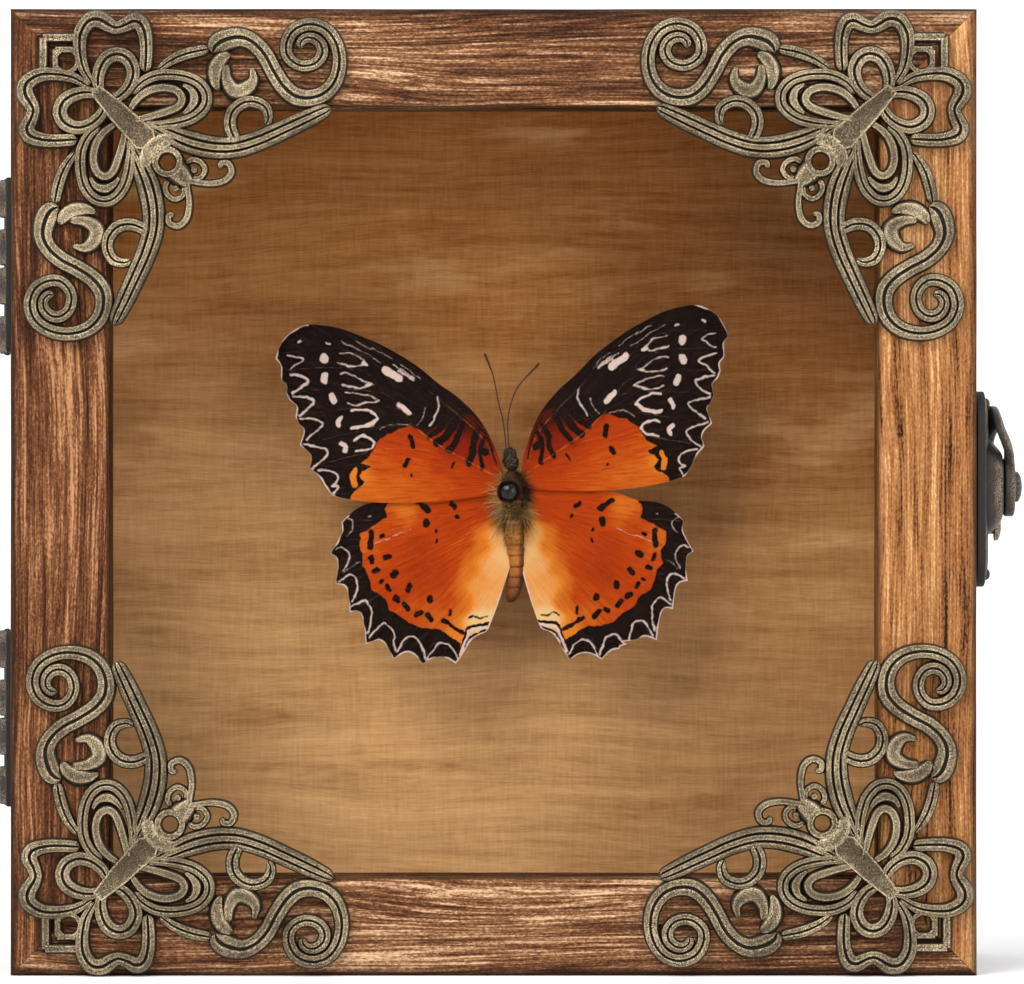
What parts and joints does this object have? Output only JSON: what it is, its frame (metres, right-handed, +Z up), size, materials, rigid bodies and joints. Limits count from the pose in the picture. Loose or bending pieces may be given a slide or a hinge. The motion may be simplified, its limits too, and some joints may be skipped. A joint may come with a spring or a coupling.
{
  "type": "framed butterfly specimen",
  "caption": "Glazed wooden display box with a hinged lid, filigree corner castings and a swing catch, holding a spread orange butterfly on a pin.",
  "frame": {"origin": "on the flat bottom face of the case, at the middle of its width, 25 mm in front of its back", "axes": "+Z up the standing case, -Y out of the glazed front, +X to the right of someone facing the front"},
  "size_m": [0.1761, 0.0521, 0.165],
  "materials": {
    "torched_wood": "torched and brushed softwood, satin",
    "light_wood": "plain light board, fine straight grain, unvarnished",
    "clear_glass": "clear, polished",
    "antique_brass": "cast, darkened in the grooves and rubbed bright on the ridges",
    "dark_bronze": "pressed sheet, dark patina with speckled wear",
    "old_brass_brads": "domed heads, dulled",
    "pin_steel": "bright drawn wire",
    "wing_scales": "dry matt wing scales, orange, black and cream",
    "body_fur": "short brown and golden hair",
    "abdomen_skin": "dry orange-brown skin with fine scales",
    "dark_horn": "dark brown horn, slightly glossy",
    "black_bead": "polished black bead"
  },
  "bodies": {
    "case": {"base_wall_bottom": "torched_wood", "base_wall_left": "torched_wood", "base_wall_top": "torched_wood", "base_wall_right": "torched_wood", "back_panel": "light_wood", "hinge_upper_base_leaf": "dark_bronze", "hinge_lower_base_leaf": "dark_bronze", "hinge_upper_base_brad_low": "old_brass_brads", "hinge_upper_base_brad_high": "old_brass_brads", "hinge_lower_base_brad_low": "old_brass_brads", "hinge_lower_base_brad_high": "old_brass_brads", "hinge_upper_pin": "pin_steel", "hinge_lower_pin": "pin_steel", "catch_base_plate": "dark_bronze", "catch_base_brad_low": "old_brass_brads", "catch_base_brad_high": "old_brass_brads", "catch_stud": "old_brass_brads", "forewing_left": "wing_scales", "forewing_right": "wing_scales", "hindwing_left": "wing_scales", "hindwing_right": "wing_scales", "thorax": "body_fur", "head": "body_fur", "abdomen": "abdomen_skin", "antenna_left": "dark_horn", "antenna_right": "dark_horn", "pin_shaft": "pin_steel", "pin_head": "black_bead"},
    "lid": {"lid_rail_bottom": "torched_wood", "lid_stile_left": "torched_wood", "lid_rail_top": "torched_wood", "lid_stile_right": "torched_wood", "glass_pane": "clear_glass", "corner_top_left": "antique_brass", "corner_top_right": "antique_brass", "corner_bottom_left": "antique_brass", "corner_bottom_right": "antique_brass", "hinge_upper_lid_leaf": "dark_bronze", "hinge_lower_lid_leaf": "dark_bronze", "hinge_upper_lid_brad_low": "old_brass_brads", "hinge_upper_lid_brad_high": "old_brass_brads", "hinge_lower_lid_brad_low": "old_brass_brads", "hinge_lower_lid_brad_high": "old_brass_brads", "catch_lid_plate": "dark_bronze", "catch_lid_brad_low": "old_brass_brads", "catch_lid_brad_high": "old_brass_brads", "catch_rivet": "old_brass_brads"},
    "hook": {"catch_hook": "dark_bronze"}
  },
  "joints": [
    {"name": "lid_hinge", "type": "hinge", "parent": "case", "child": "lid", "pos_m": [-0.0841, -0.01085, 0.0825], "axis": [0, 0, -1], "range_deg": [0, 170]},
    {"name": "hook_pivot", "type": "hinge", "parent": "lid", "child": "hook", "pos_m": [0.08755, -0.018, 0.0834], "axis": [1, 0, 0], "range_deg": [-22, 90]}
  ]
}
